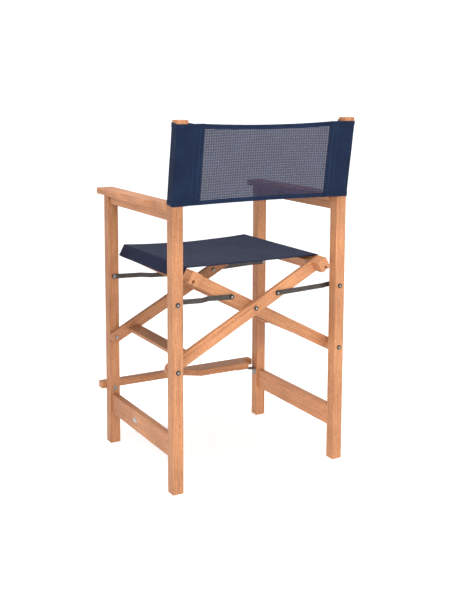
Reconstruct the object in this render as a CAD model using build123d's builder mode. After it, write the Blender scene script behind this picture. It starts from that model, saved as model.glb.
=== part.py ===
from build123d import *
import math
import os

# Folding counter-height director chair. Millimetres, +Z up, origin on the floor
# midway between the four posts. -X is the sitter's left frame, +Y the front.
os.makedirs("parts", exist_ok=True)

# ---- driving dimensions -------------------------------------------------------
HALF_SPACING = 260.0        # post centre to chair centre, across
HALF_DEPTH = 217.0          # post centre to chair centre, front to back
POST = 32.0                 # square section of the four posts
CHAIR_HEIGHT = 1005.0
EASE = 1.6                  # rounding of the sawn edges
EDGE_GAP = 0.05             # running clearance round every bolt

BEND_Z = 772.0              # rear posts lean back above this height
LEAN_DEG = 8.2
BEND_RADIUS = 160.0

ARM_TOP = 785.0
ARM_THICK = 18.0
ARM_OUT = 30.0              # armrest reach outboard of the post centre
ARM_IN = 24.0
ARM_REAR_OUT = 16.5         # outboard reach beside the rear post
ARM_FRONT_OVERHANG = 28.0
ARM_TAPER_START = -78.0     # Y where the outer edge starts to sweep in
ARM_TAPER_END = -122.0
ARM_SWEEP_IN = 9.0          # first curved part of the taper
ARM_SWEEP_RUN = 24.0
ARM_CORNER = 7.0
ARM_TOP_EASE = 3.0
ARM_RAIL_BOTTOM = 740.0
ARM_RAIL_THICK = 20.0

SIDE_RAIL_TOP = 155.0       # low stretcher of each side frame
SIDE_RAIL_BOTTOM = 95.0
SIDE_RAIL_THICK = 19.0
TENON_DEPTH = 14.0
TENON_THICK = 10.0
TENON_SHOULDER = 6.0
ARM_TENON_DROP = 5.0        # arm rail's tenon below and above the rail's faces
ARM_TENON_RISE = 4.0
MORTISE_SLACK = 0.5         # empty depth behind each tenon

LEG_ANGLE = 28.0            # legs of the X, above horizontal
LEG_PIVOT_Z = 337.0
LEG_WIDTH = 34.0
LEG_THICK = 16.0
LEG_LAYER_GAP = 0.4
RAIL_REACH = 206.0          # seat rail centre from chair centre, across
RAIL_ALONG = 32.0           # seat rail section, along the leg
RAIL_ACROSS = 34.0          # seat rail section, across the leg
RAIL_REAR = 229.5           # the rear ends stop short of the back sling
GROOVE_U = 2.0              # keyhole groove centre in the seat rail section
GROOVE_V = -9.0
GROOVE_RADIUS = 4.4
GROOVE_SLOT = 4.4
ROD_RADIUS = 2.6
ROD_SHORT = 2.0             # rod's front end inside the cloth
RAIL_EASE = 2.0
BRACKET_LONG = 22.0         # steel angle between a leg and its seat rail
BRACKET_HIGH = 16.0
BRACKET_THICK = 2.0
BRACKET_CORNER = 1.5
BRACKET_RISE = 4.0
BRACKET_SCREW_BACK = 14.0   # screw behind the leg's end
BRACKET_SCREW_RADIUS = 3.2
SCREW_HEAD = 1.4

STRETCHER_WIDTH = 34.0      # board that ties each pair of legs together
STRETCHER_THICK = 12.0
STRETCHER_AT = 59.0         # along the leg from its post pivot
STRETCHER_DROP = 6.0
STRETCHER_ANGLE = 16.0

LINK_PIVOT_Z = 520.0
LINK_LEG_REACH = 70.0       # link's leg bolt from chair centre, across
LINK_WIDTH = 14.0
LINK_THICK = 2.4
LINK_ROOM = 0.6             # room beside a link between its post and the outer leg
LINK_GAP = 0.2              # between a link and the post or leg beside it
LEG_CLEAR = 0.4             # between a left link and the inner leg's face
RIGHT_LINK_JOGGLE = 5.0     # sideways step of a right link
LEFT_STEP = (88.0, 116.0)   # where the step starts and ends along the link
RIGHT_STEP = (20.0, 36.0)

BOLT_RADIUS = 3.0
HEAD_RADIUS = 6.4
HEAD_HEIGHT = 3.0
HEAD_EASE = 1.0
SOCKET_ACROSS = 2.3
SOCKET_DEPTH = 2.0
NUT_RADIUS = 5.4
NUT_HEIGHT = 4.0
NUT_CHAMFER = 0.8
NUT_CROWN = 1.0             # closed end of the nut
NUT_HOLD = 3.0              # bolt length inside its nut
WASHER_RADIUS = 9.0
LINK_SPACER_RADIUS = 6.5
SPACER_SLACK = 0.15         # running clearance beside a washer or spacer

PLATE_LONG = 26.0           # plain oval plate on the left stretcher
PLATE_HIGH = 14.0
PLATE_THICK = 1.0
PLATE_EASE = 0.4
PLATE_Y = 30.0
PLATE_Z = 126.0

FOOT_TOP = 184.0            # footrest board
FOOT_THICK = 20.0
FOOT_GAP = 5.0              # between the front posts and the bar
FOOT_BAR_DEPTH = 28.0
FOOT_LEFT = -288.0
FOOT_RIGHT = 248.0
FOOT_WIDE_RIGHT = 215.0
FOOT_WIDE_LEFT = 40.0
FOOT_CHAMFER_LEFT = -10.0
FOOT_WIDE_REAR = 204.0
FOOT_PIVOT_X = 219.0
FOOT_PIVOT_Z = 160.5
PEG_Z = 174.0
PEG_SLOT_HALF = 4.5
PEG_SLOT_ROOM = 0.3         # slot's top above the peg
PEG_SHORT = 3.0             # peg's tip behind the board's front face
FOOT_CORNER = 3.0
FOOT_EASE = 2.0
HINGE_KNUCKLE = 2.6         # hinge of the footrest: knuckle, pin and leaf
HINGE_PIN = 1.3
HINGE_LEAF = 1.6
HINGE_BRACKET_HEIGHT = 20.0
HINGE_SCREW_DROPS = (5.0, 13.0)
HINGE_SCREW_RADIUS = 3.0
LEAF_LONG = 44.0
LEAF_WIDE = 24.0
LEAF_CORNER = 2.0
LEAF_INBOARD = 26.0         # leaf's middle from the pin

FABRIC = 1.6                # thickness of the sling cloth
FABRIC_GAP = 0.4
BACK_BOTTOM = 783.0
BACK_TOP = 996.0
PANEL_HALF = 198.0          # half width of the mesh between the sewn laps
SEAT_REAR = -196.0
SEAT_FRONT = 232.0
SEAT_SAG = 8.0
CLOTH_TURN = 1.5            # cut corner where the cloth turns round a rail
CLOTH_IN_GROOVE = 0.6
SLEEVE_CORNER = 3.0
SLEEVE_INNER_CORNER = 1.4

# ---- derived places -----------------------------------------------------------
POST_HALF = POST / 2
POST_FACE = HALF_DEPTH - POST_HALF              # post face turned to the legs
POST_BACK = HALF_DEPTH + POST_HALF
angle = math.radians(LEG_ANGLE)
LEG_TO_CENTRE = HALF_SPACING / math.cos(angle)
CROSS_Z = LEG_PIVOT_Z + HALF_SPACING * math.tan(angle)
RAIL_FROM_CROSS = RAIL_REACH / math.cos(angle)
LEG_LENGTH = LEG_TO_CENTRE + RAIL_FROM_CROSS - RAIL_ALONG / 2
LINK_LEG_Z = CROSS_Z + LINK_LEG_REACH * math.tan(angle)

STRAP_LAYER = LINK_THICK + LINK_ROOM            # room between posts and outer legs
OUTER_LEG_FACE = POST_FACE - STRAP_LAYER        # |Y| of the outer leg's outer face
OUTER_LEG_INNER = OUTER_LEG_FACE - LEG_THICK
INNER_LEG_FACE = OUTER_LEG_INNER - LEG_LAYER_GAP
INNER_LEG_INNER = INNER_LEG_FACE - LEG_THICK
LEAN = math.radians(LEAN_DEG)
TOP_LEAN = (CHAIR_HEIGHT - BEND_Z) * math.tan(LEAN)

SIDES = {"left": -1, "right": 1}
ENDS = {"rear": -1, "front": 1}


def write(piece, name):
    """Label a finished piece and write its STEP file."""
    piece.part.label = name
    export_step(piece.part, f"parts/{name}.step")


def facing_rear(y):
    """Plane at this Y whose sketch axes are X and Z; it extrudes to the rear."""
    return Plane.XZ.offset(-y)


def leg_plane(side, y):
    """Sketch plane of a leg: x runs up the leg from its post pivot."""
    direction = (-side * math.cos(angle), 0, math.sin(angle))
    return Plane(
        origin=(side * HALF_SPACING, y, LEG_PIVOT_Z),
        x_dir=direction,
        z_dir=(0, side, 0),
    )


def along_leg(side, u, v):
    """Point (X, Z) at u up the leg and v above its centre line."""
    x = side * (HALF_SPACING - u * math.cos(angle) + v * math.sin(angle))
    z = LEG_PIVOT_Z + u * math.sin(angle) + v * math.cos(angle)
    return x, z


def bolt(x, z, head_y, tip_y):
    """Socket-head bolt along Y; the head sits outside head_y, away from tip_y."""
    outward = 1 if head_y > tip_y else -1
    with BuildPart() as screw:
        with BuildSketch(Plane(origin=(x, head_y, z), x_dir=(1, 0, 0), z_dir=(0, outward, 0))):
            Circle(HEAD_RADIUS)
        extrude(amount=HEAD_HEIGHT)
        fillet(screw.faces().sort_by(Axis.Y)[-1 if outward > 0 else 0].edges(), HEAD_EASE)
        with BuildSketch(
            Plane(
                origin=(x, head_y + outward * HEAD_HEIGHT, z),
                x_dir=(1, 0, 0),
                z_dir=(0, outward, 0),
            )
        ):
            RegularPolygon(SOCKET_ACROSS, 6)
        extrude(amount=-SOCKET_DEPTH, mode=Mode.SUBTRACT)
        with BuildSketch(Plane(origin=(x, head_y, z), x_dir=(1, 0, 0), z_dir=(0, outward, 0))):
            Circle(BOLT_RADIUS)
        extrude(amount=-abs(head_y - tip_y))
    return screw.part


def nut(x, z, seat_y, outward):
    """Domed hexagon nut sitting on a face at seat_y, with its bolt bore."""
    with BuildPart() as cap:
        with BuildSketch(Plane(origin=(x, seat_y, z), x_dir=(1, 0, 0), z_dir=(0, outward, 0))):
            RegularPolygon(NUT_RADIUS, 6)
        extrude(amount=NUT_HEIGHT)
        top = cap.faces().sort_by(Axis.Y)[-1 if outward > 0 else 0]
        chamfer(top.edges(), NUT_CHAMFER)
        with BuildSketch(Plane(origin=(x, seat_y, z), x_dir=(1, 0, 0), z_dir=(0, outward, 0))):
            Circle(BOLT_RADIUS + EDGE_GAP)
        extrude(amount=NUT_HEIGHT - NUT_CROWN, mode=Mode.SUBTRACT)
    return cap.part


def group(solids, name):
    """Write several identical fasteners as one node."""
    with BuildPart() as fasteners:
        for solid in solids:
            add(solid)
    write(fasteners, name)


def bore_along_y(piece_plane_y, places, radius, depth):
    """Cut round holes through the piece being built, seen from the rear."""
    with BuildSketch(facing_rear(piece_plane_y)) as holes:
        with Locations(*places):
            Circle(radius)
    extrude(holes.sketch, amount=depth, mode=Mode.SUBTRACT)


def mortise(x, y_face, z_low, z_high, inward):
    """Pocket for a tenon in the post face at y_face."""
    with BuildSketch(
        Plane(origin=(x, y_face, (z_low + z_high) / 2), x_dir=(1, 0, 0), z_dir=(0, inward, 0))
    ) as pocket:
        Rectangle(TENON_THICK, z_high - z_low)
    extrude(pocket.sketch, amount=TENON_DEPTH + MORTISE_SLACK, mode=Mode.SUBTRACT)


# ---- side frames --------------------------------------------------------------
tenons = {
    "lower": (SIDE_RAIL_BOTTOM + TENON_SHOULDER, SIDE_RAIL_TOP - TENON_SHOULDER),
    "arm": (ARM_RAIL_BOTTOM + ARM_TENON_RISE, ARM_TOP - ARM_THICK - ARM_TENON_DROP),
}

for side_name, side in SIDES.items():
    x = side * HALF_SPACING
    bolt_holes = [(x, LEG_PIVOT_Z), (x, LINK_PIVOT_Z)]

    with BuildPart() as rear_post:
        with BuildSketch(Plane.YZ.offset(x)):
            with BuildLine():
                Polyline(
                    (-POST_BACK, 0),
                    (-POST_FACE, 0),
                    (-POST_FACE, BEND_Z),
                    (-POST_FACE - TOP_LEAN, CHAIR_HEIGHT),
                    (-POST_BACK - TOP_LEAN, CHAIR_HEIGHT),
                    (-POST_BACK, BEND_Z),
                    close=True,
                )
            outline = make_face()
            knees = [corner for corner in outline.vertices() if abs(corner.Y - BEND_Z) < 1]
            fillet(knees, BEND_RADIUS)
        extrude(amount=POST_HALF, both=True)
        fillet(rear_post.edges(), EASE)
        bore_along_y(-POST_FACE + 1, bolt_holes, BOLT_RADIUS + EDGE_GAP, POST + 2)
        for z_low, z_high in tenons.values():
            mortise(x, -POST_FACE, z_low, z_high, -1)
    write(rear_post, f"{side_name}_rear_post")

    with BuildPart() as front_post:
        with BuildSketch(Plane.XY):
            with Locations((x, HALF_DEPTH)):
                Rectangle(POST, POST)
        extrude(amount=ARM_TOP - ARM_THICK)
        fillet(front_post.edges().filter_by(Axis.Z), EASE)
        fillet(front_post.faces().sort_by(Axis.Z)[0].edges(), EASE)
        front_holes = bolt_holes + ([(x, PEG_Z)] if side < 0 else [])
        bore_along_y(POST_BACK + 1, front_holes, BOLT_RADIUS + EDGE_GAP, POST + 2)
        for z_low, z_high in tenons.values():
            mortise(x, POST_FACE, z_low, z_high, 1)
    write(front_post, f"{side_name}_front_post")

    for rail_name, z_low, z_high, thick in (
        ("lower_stretcher", SIDE_RAIL_BOTTOM, SIDE_RAIL_TOP, SIDE_RAIL_THICK),
        ("arm_rail", ARM_RAIL_BOTTOM, ARM_TOP - ARM_THICK, ARM_RAIL_THICK),
    ):
        tenon_low, tenon_high = tenons["lower" if rail_name == "lower_stretcher" else "arm"]
        with BuildPart() as rail:
            with BuildSketch(facing_rear(POST_FACE)):
                with Locations((x, (z_low + z_high) / 2)):
                    Rectangle(thick, z_high - z_low)
            extrude(amount=2 * POST_FACE)
            fillet(rail.edges().filter_by(Axis.Y), EASE)
            with BuildSketch(facing_rear(POST_FACE + TENON_DEPTH)):
                with Locations((x, (tenon_low + tenon_high) / 2)):
                    Rectangle(TENON_THICK, tenon_high - tenon_low)
            extrude(amount=2 * (POST_FACE + TENON_DEPTH))
        write(rail, f"{side_name}_{rail_name}")

    with BuildPart() as armrest:
        with BuildSketch(Plane.XY.offset(ARM_TOP - ARM_THICK)):
            with BuildLine():
                outer = x + side * ARM_OUT
                rear_outer = x + side * ARM_REAR_OUT
                inner = x - side * ARM_IN
                front = POST_BACK + ARM_FRONT_OVERHANG
                swept = (outer - side * ARM_SWEEP_IN, ARM_TAPER_START - ARM_SWEEP_RUN)
                Line((inner, -POST_FACE), (inner, front))
                Line((inner, front), (outer, front))
                Line((outer, front), (outer, ARM_TAPER_START))
                TangentArc(
                    (outer, ARM_TAPER_START),
                    swept,
                    tangent=(0, -1),
                )
                Line(swept, (rear_outer, ARM_TAPER_END))
                Line((rear_outer, ARM_TAPER_END), (rear_outer, -POST_FACE))
                Line((rear_outer, -POST_FACE), (inner, -POST_FACE))
            make_face()
        extrude(amount=ARM_THICK)
        corners = armrest.edges().filter_by(Axis.Z).group_by(Axis.Y)[-1]
        fillet(corners, ARM_CORNER)
        fillet(armrest.faces().sort_by(Axis.Z)[-1].edges(), ARM_TOP_EASE)
        fillet(armrest.faces().sort_by(Axis.Z)[0].edges().sort_by(Axis.Y)[1:], EASE)
    write(armrest, f"{side_name}_armrest")

    leg_face = OUTER_LEG_INNER if side < 0 else INNER_LEG_INNER
    leg_tip = leg_face - NUT_HOLD
    group(
        [bolt(x, LEG_PIVOT_Z, end * POST_BACK, end * leg_tip) for end in ENDS.values()],
        f"{side_name}_leg_pivot_bolts",
    )
    group(
        [nut(x, LEG_PIVOT_Z, end * leg_face, -end) for end in ENDS.values()],
        f"{side_name}_leg_pivot_nuts",
    )
    strap_inner = POST_FACE - STRAP_LAYER - (RIGHT_LINK_JOGGLE if side > 0 else 0)
    tip = strap_inner - NUT_HOLD
    group(
        [bolt(x, LINK_PIVOT_Z, end * POST_BACK, end * tip) for end in ENDS.values()],
        f"{side_name}_link_post_bolts",
    )
    group(
        [nut(x, LINK_PIVOT_Z, end * strap_inner, -end) for end in ENDS.values()],
        f"{side_name}_link_post_nuts",
    )

# spacers between posts and legs, and between the right posts and their links
for name, side, places_z, outer_radius, thick in (
    ("left_leg_washers", -1, LEG_PIVOT_Z, WASHER_RADIUS, STRAP_LAYER - SPACER_SLACK),
    ("right_leg_spacers", 1, LEG_PIVOT_Z, LEG_WIDTH / 2, POST_FACE - INNER_LEG_FACE - SPACER_SLACK),
    ("right_link_spacers", 1, LINK_PIVOT_Z, LINK_SPACER_RADIUS, RIGHT_LINK_JOGGLE),
):
    with BuildPart() as spacers:
        for end in ENDS.values():
            base = Plane(
                origin=(side * HALF_SPACING, end * POST_FACE, places_z),
                x_dir=(1, 0, 0),
                z_dir=(0, -end, 0),
            )
            with BuildSketch(base):
                Circle(outer_radius)
                Circle(BOLT_RADIUS + EDGE_GAP, mode=Mode.SUBTRACT)
            extrude(amount=thick)
    write(spacers, name)

# plain plate on the outer face of the left low stretcher
with BuildPart() as badge:
    with BuildSketch(
        Plane(
            origin=(-HALF_SPACING - SIDE_RAIL_THICK / 2, PLATE_Y, PLATE_Z),
            x_dir=(0, -1, 0),
            z_dir=(-1, 0, 0),
        )
    ):
        SlotOverall(PLATE_LONG, PLATE_HIGH)
    extrude(amount=PLATE_THICK)
    fillet(badge.faces().sort_by(Axis.X)[0].edges(), PLATE_EASE)
write(badge, "left_plain_plate")

# peg that the footrest drops over
with BuildPart() as peg:
    add(bolt(-HALF_SPACING, PEG_Z, POST_FACE, POST_BACK + FOOT_GAP + FOOT_BAR_DEPTH - PEG_SHORT))
write(peg, "footrest_peg_bolt")


# ---- leg frames ---------------------------------------------------------------
def leg(side, outer_y, inner_y, end, name):
    """One leg of the X with a round lower end and its three bores."""
    cross_u = LEG_TO_CENTRE
    link_u = LEG_TO_CENTRE + LINK_LEG_REACH / math.cos(angle)
    with BuildPart() as bar:
        with BuildSketch(leg_plane(side, end * outer_y)):
            with BuildLine():
                Line((0, -LEG_WIDTH / 2), (LEG_LENGTH, -LEG_WIDTH / 2))
                Line((LEG_LENGTH, -LEG_WIDTH / 2), (LEG_LENGTH, LEG_WIDTH / 2))
                Line((LEG_LENGTH, LEG_WIDTH / 2), (0, LEG_WIDTH / 2))
                ThreePointArc((0, LEG_WIDTH / 2), (-LEG_WIDTH / 2, 0), (0, -LEG_WIDTH / 2))
            make_face()
        extrude(amount=-side * end * (outer_y - inner_y))
        fillet(bar.edges(), EASE)
        with BuildSketch(leg_plane(side, 0)):
            with Locations((0, 0), (cross_u, 0), (link_u, 0)):
                Circle(BOLT_RADIUS + EDGE_GAP)
        extrude(amount=side * end * outer_y * 1.2, mode=Mode.SUBTRACT)
    write(bar, name)


for frame_name, side, outer_y, inner_y, rail_name in (
    ("outer", -1, OUTER_LEG_FACE, OUTER_LEG_INNER, "right"),
    ("inner", 1, INNER_LEG_FACE, INNER_LEG_INNER, "left"),
):
    for end_name, end in ENDS.items():
        leg(side, outer_y, inner_y, end, f"{frame_name}_{end_name}_leg")

    rail_u = LEG_TO_CENTRE + RAIL_FROM_CROSS
    with BuildPart() as seat_rail:
        with BuildSketch(leg_plane(side, POST_BACK)):
            with Locations((rail_u, 0)):
                Rectangle(RAIL_ALONG, RAIL_ACROSS)
        extrude(amount=-side * (POST_BACK + RAIL_REAR))
        fillet(seat_rail.edges().filter_by(Axis.Y), RAIL_EASE)
        with BuildSketch(leg_plane(side, 0)):
            with Locations((rail_u + GROOVE_U, GROOVE_V)):
                Circle(GROOVE_RADIUS)
            with Locations((rail_u + GROOVE_U, (GROOVE_V - RAIL_ACROSS / 2 - 1) / 2)):
                Rectangle(GROOVE_SLOT, GROOVE_V + RAIL_ACROSS / 2 + 1)
        extrude(amount=POST_BACK + 1, both=True, mode=Mode.SUBTRACT)
    write(seat_rail, f"{rail_name}_seat_rail")

    with BuildPart() as rod:
        with BuildSketch(leg_plane(side, 0)):
            with Locations((rail_u + GROOVE_U, GROOVE_V)):
                Circle(ROD_RADIUS)
        extrude(amount=SEAT_FRONT - ROD_SHORT, both=True)
        split(bisect_by=Plane.XZ.offset(-SEAT_REAR), keep=Keep.BOTTOM)
    write(rod, f"{rail_name}_seat_rod")

    with BuildPart() as stretcher:
        x_mid, z_mid = along_leg(side, STRETCHER_AT, -STRETCHER_DROP)
        tilt = math.radians(STRETCHER_ANGLE)
        with BuildSketch(
            Plane(
                origin=(x_mid, 0, z_mid),
                x_dir=(-side * math.cos(tilt), 0, math.sin(tilt)),
                z_dir=(0, side, 0),
            )
        ):
            Rectangle(STRETCHER_WIDTH, STRETCHER_THICK)
        extrude(amount=inner_y, both=True)
        fillet(stretcher.edges().filter_by(Axis.Y), EASE)
    write(stretcher, f"{frame_name}_leg_stretcher")

    link_x, link_z = along_leg(side, LEG_TO_CENTRE + LINK_LEG_REACH / math.cos(angle), 0)
    group(
        [nut(link_x, link_z, end * inner_y, -end) for end in ENDS.values()],
        f"{frame_name}_link_nuts",
    )

    # steel angle that ties each leg to its seat rail, with two screws
    with BuildPart() as brackets:
        for end in ENDS.values():
            with BuildSketch(leg_plane(side, end * inner_y)):
                with Locations((LEG_LENGTH - BRACKET_LONG / 2, BRACKET_RISE)):
                    RectangleRounded(BRACKET_LONG, BRACKET_HIGH, BRACKET_CORNER)
            extrude(amount=side * -end * BRACKET_THICK)
            with BuildSketch(leg_plane(side, end * inner_y)):
                with Locations((LEG_LENGTH - BRACKET_THICK / 2, BRACKET_RISE)):
                    Rectangle(BRACKET_THICK, BRACKET_HIGH)
            extrude(amount=side * -end * BRACKET_LONG)
    write(brackets, f"{rail_name}_rail_brackets")
    with BuildPart() as bracket_screws:
        for end in ENDS.values():
            with BuildSketch(leg_plane(side, end * (inner_y - BRACKET_THICK))):
                with Locations((LEG_LENGTH - BRACKET_SCREW_BACK, BRACKET_RISE)):
                    Circle(BRACKET_SCREW_RADIUS)
            extrude(amount=side * -end * SCREW_HEAD)
    write(bracket_screws, f"{rail_name}_bracket_screws")

group(
    [
        bolt(0, CROSS_Z, end * OUTER_LEG_FACE, end * (INNER_LEG_INNER - NUT_HOLD))
        for end in ENDS.values()
    ],
    "cross_pivot_bolts",
)
group(
    [nut(0, CROSS_Z, end * INNER_LEG_INNER, -end) for end in ENDS.values()],
    "cross_pivot_nuts",
)


# ---- links --------------------------------------------------------------------
def link(side, end, joggle, step, name):
    """Flat steel strap from a post to the far leg, joggled between two layers."""
    x_post, z_post = side * HALF_SPACING, LINK_PIVOT_Z
    x_leg, z_leg = side * LINK_LEG_REACH, LINK_LEG_Z
    length = math.hypot(x_leg - x_post, z_leg - z_post)
    run = ((x_leg - x_post) / length, 0, (z_leg - z_post) / length)
    outside = POST_FACE - LINK_GAP - (RIGHT_LINK_JOGGLE if side > 0 else 0)
    outside_leg = outside - joggle
    joggle_start, joggle_end = step
    half = LINK_WIDTH / 2
    strap_plane = Plane(origin=(x_post, 0, z_post), x_dir=run, z_dir=(0, side, 0))
    # side view of the strap: x along the strap, y through its thickness
    profile_plane = Plane(
        origin=(x_post, 0, z_post),
        x_dir=run,
        z_dir=Vector(run).cross(Vector(0, 1, 0)),
    )
    with BuildPart() as strap:
        with BuildSketch(profile_plane):
            with BuildLine():
                Polyline(
                    (-half, end * outside),
                    (joggle_start, end * outside),
                    (joggle_end, end * outside_leg),
                    (length + half, end * outside_leg),
                    (length + half, end * (outside_leg - LINK_THICK)),
                    (joggle_end, end * (outside_leg - LINK_THICK)),
                    (joggle_start, end * (outside - LINK_THICK)),
                    (-half, end * (outside - LINK_THICK)),
                    close=True,
                )
            make_face()
        extrude(amount=half, both=True)
        with BuildSketch(strap_plane):
            with Locations((length / 2, 0)):
                SlotOverall(length + LINK_WIDTH, LINK_WIDTH)
        extrude(amount=POST_FACE + 5, both=True, mode=Mode.INTERSECT)
        with BuildSketch(strap_plane):
            with Locations((0, 0), (length, 0)):
                Circle(BOLT_RADIUS + EDGE_GAP)
        extrude(amount=POST_FACE + 5, both=True, mode=Mode.SUBTRACT)
    write(strap, f"{name}_link")
    with BuildPart() as stud:
        add(bolt(x_leg, z_leg, end * outside_leg, end * (outside_leg - LINK_THICK - LINK_GAP)))
    write(stud, f"{name}_link_bolt")


LEFT_JOGGLE = POST_FACE - LINK_GAP - LINK_THICK - INNER_LEG_FACE - LEG_CLEAR
for end_name, end in ENDS.items():
    link(-1, end, LEFT_JOGGLE, LEFT_STEP, f"left_{end_name}")
    link(1, end, -RIGHT_LINK_JOGGLE, RIGHT_STEP, f"right_{end_name}")

# ---- footrest -----------------------------------------------------------------
BAR_REAR = POST_BACK + FOOT_GAP
BAR_FRONT = BAR_REAR + FOOT_BAR_DEPTH
with BuildPart() as footrest:
    with BuildSketch(Plane.XY.offset(FOOT_TOP - FOOT_THICK)):
        with BuildLine():
            Polyline(
                (FOOT_LEFT, BAR_REAR),
                (FOOT_CHAMFER_LEFT, BAR_REAR),
                (FOOT_WIDE_LEFT, FOOT_WIDE_REAR),
                (FOOT_WIDE_RIGHT, FOOT_WIDE_REAR),
                (FOOT_WIDE_RIGHT, BAR_REAR),
                (FOOT_RIGHT, BAR_REAR),
                (FOOT_RIGHT, BAR_FRONT),
                (FOOT_LEFT, BAR_FRONT),
                close=True,
            )
        make_face()
    extrude(amount=FOOT_THICK)
    fillet(footrest.edges().filter_by(Axis.Z).group_by(Axis.X)[-1], FOOT_CORNER)
    fillet(footrest.edges().filter_by(Axis.Z).group_by(Axis.X)[0], FOOT_CORNER)
    fillet(footrest.faces().sort_by(Axis.Z)[-1].edges(), FOOT_EASE)
    with BuildSketch(facing_rear(BAR_FRONT + 1)):
        with Locations((-HALF_SPACING, (FOOT_TOP - FOOT_THICK + PEG_Z) / 2)):
            Rectangle(2 * PEG_SLOT_HALF, PEG_Z - FOOT_TOP + FOOT_THICK)
        with Locations((-HALF_SPACING, PEG_Z)):
            Rectangle(2 * PEG_SLOT_HALF, 2 * (BOLT_RADIUS + PEG_SLOT_ROOM))
    extrude(amount=FOOT_BAR_DEPTH + 2, mode=Mode.SUBTRACT)
write(footrest, "footrest_board")

POST_INNER = HALF_SPACING - POST_HALF               # |X| of the post face turned inwards
LEAF_LOW = FOOT_PIVOT_Z - HINGE_KNUCKLE             # underside of the bracket's shelf
LEAF_HIGH = FOOT_PIVOT_Z + HINGE_KNUCKLE            # top of the leaf's knuckle tab
KNUCKLE_FRONTS = (213.0, 231.0)
KNUCKLE_WIDE = 6.5
HINGE_FRONT = KNUCKLE_FRONTS[-1]
HINGE_WIDE = HINGE_FRONT - KNUCKLE_FRONTS[0] + KNUCKLE_WIDE
SHELF_START = FOOT_PIVOT_X + 5.0
HINGE_Y = HINGE_FRONT - HINGE_WIDE / 2
with BuildPart() as bracket:
    for y_front in KNUCKLE_FRONTS:
        with BuildSketch(facing_rear(y_front)):
            with Locations((FOOT_PIVOT_X, FOOT_PIVOT_Z)):
                Circle(HINGE_KNUCKLE)
            with Locations(((FOOT_PIVOT_X + POST_INNER) / 2, LEAF_LOW + HINGE_LEAF / 2)):
                Rectangle(POST_INNER - FOOT_PIVOT_X, HINGE_LEAF)
            with Locations((FOOT_PIVOT_X, FOOT_PIVOT_Z)):
                Circle(HINGE_PIN, mode=Mode.SUBTRACT)
        extrude(amount=KNUCKLE_WIDE)
    with BuildSketch(facing_rear(HINGE_FRONT)):
        with Locations(((SHELF_START + POST_INNER) / 2, LEAF_LOW + HINGE_LEAF / 2)):
            Rectangle(POST_INNER - SHELF_START, HINGE_LEAF)
        with Locations((POST_INNER - HINGE_LEAF / 2, LEAF_LOW + HINGE_LEAF - HINGE_BRACKET_HEIGHT / 2)):
            Rectangle(HINGE_LEAF, HINGE_BRACKET_HEIGHT)
    extrude(amount=HINGE_WIDE)
write(bracket, "footrest_bracket")

with BuildPart() as bracket_screws:
    for drop in HINGE_SCREW_DROPS:
        with BuildSketch(Plane.YZ.offset(POST_INNER - HINGE_LEAF)):
            with Locations((HINGE_Y, LEAF_LOW - drop)):
                Circle(HINGE_SCREW_RADIUS)
        extrude(amount=-SCREW_HEAD)
write(bracket_screws, "footrest_bracket_screws")

TAB_WIDE = 10.9             # the leaf's knuckle between the bracket's two
TAB_REACH = 9.0             # from the pin to inside the leaf plate
with BuildPart() as leaf:
    with BuildSketch(facing_rear(HINGE_Y + TAB_WIDE / 2)):
        with Locations((FOOT_PIVOT_X, FOOT_PIVOT_Z)):
            Circle(HINGE_KNUCKLE)
        with Locations((FOOT_PIVOT_X - TAB_REACH / 2, LEAF_HIGH - HINGE_LEAF / 2)):
            Rectangle(TAB_REACH, HINGE_LEAF)
        with Locations((FOOT_PIVOT_X, FOOT_PIVOT_Z)):
            Circle(HINGE_PIN + EDGE_GAP, mode=Mode.SUBTRACT)
    extrude(amount=TAB_WIDE)
    with BuildSketch(Plane.XY.offset(FOOT_TOP - FOOT_THICK)):
        with Locations((FOOT_PIVOT_X - LEAF_INBOARD, HINGE_Y)):
            RectangleRounded(LEAF_LONG, LEAF_WIDE, LEAF_CORNER)
    extrude(amount=LEAF_HIGH - HINGE_LEAF - FOOT_TOP + FOOT_THICK)
write(leaf, "footrest_hinge_leaf")

with BuildPart() as pin:
    with BuildSketch(facing_rear(HINGE_FRONT + 1)):
        with Locations((FOOT_PIVOT_X, FOOT_PIVOT_Z)):
            Circle(HINGE_PIN)
    extrude(amount=HINGE_WIDE + 2)
write(pin, "footrest_hinge_pin")

# ---- sling fabric -------------------------------------------------------------
def rail_point(side, u, v):
    """Point (X, Z) in the section of a seat rail; side -1 is the left rail."""
    return along_leg(-side, LEG_TO_CENTRE + RAIL_FROM_CROSS + u, v)


reach = FABRIC_GAP + FABRIC / 2
half_u = RAIL_ALONG / 2 + reach
half_v = RAIL_ACROSS / 2 + reach
with BuildPart() as seat_sling:
    with BuildSketch(facing_rear(SEAT_FRONT)):
        with BuildLine():
            ThreePointArc(
                rail_point(-1, half_u - CLOTH_TURN, half_v),
                (0, rail_point(1, half_u, half_v)[1] - SEAT_SAG),
                rail_point(1, half_u - CLOTH_TURN, half_v),
            )
            for side in SIDES.values():
                Polyline(
                    rail_point(side, half_u - CLOTH_TURN, half_v),
                    rail_point(side, half_u, half_v - CLOTH_TURN),
                    rail_point(side, half_u, CLOTH_TURN - half_v),
                    rail_point(side, half_u - CLOTH_TURN, -half_v),
                    rail_point(side, GROOVE_U + CLOTH_IN_GROOVE, -half_v),
                    rail_point(side, GROOVE_U + CLOTH_IN_GROOVE, GROOVE_V - ROD_RADIUS - FABRIC),
                )
        trace(line_width=FABRIC)
    extrude(amount=SEAT_FRONT - SEAT_REAR)
write(seat_sling, "seat_sling")

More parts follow.
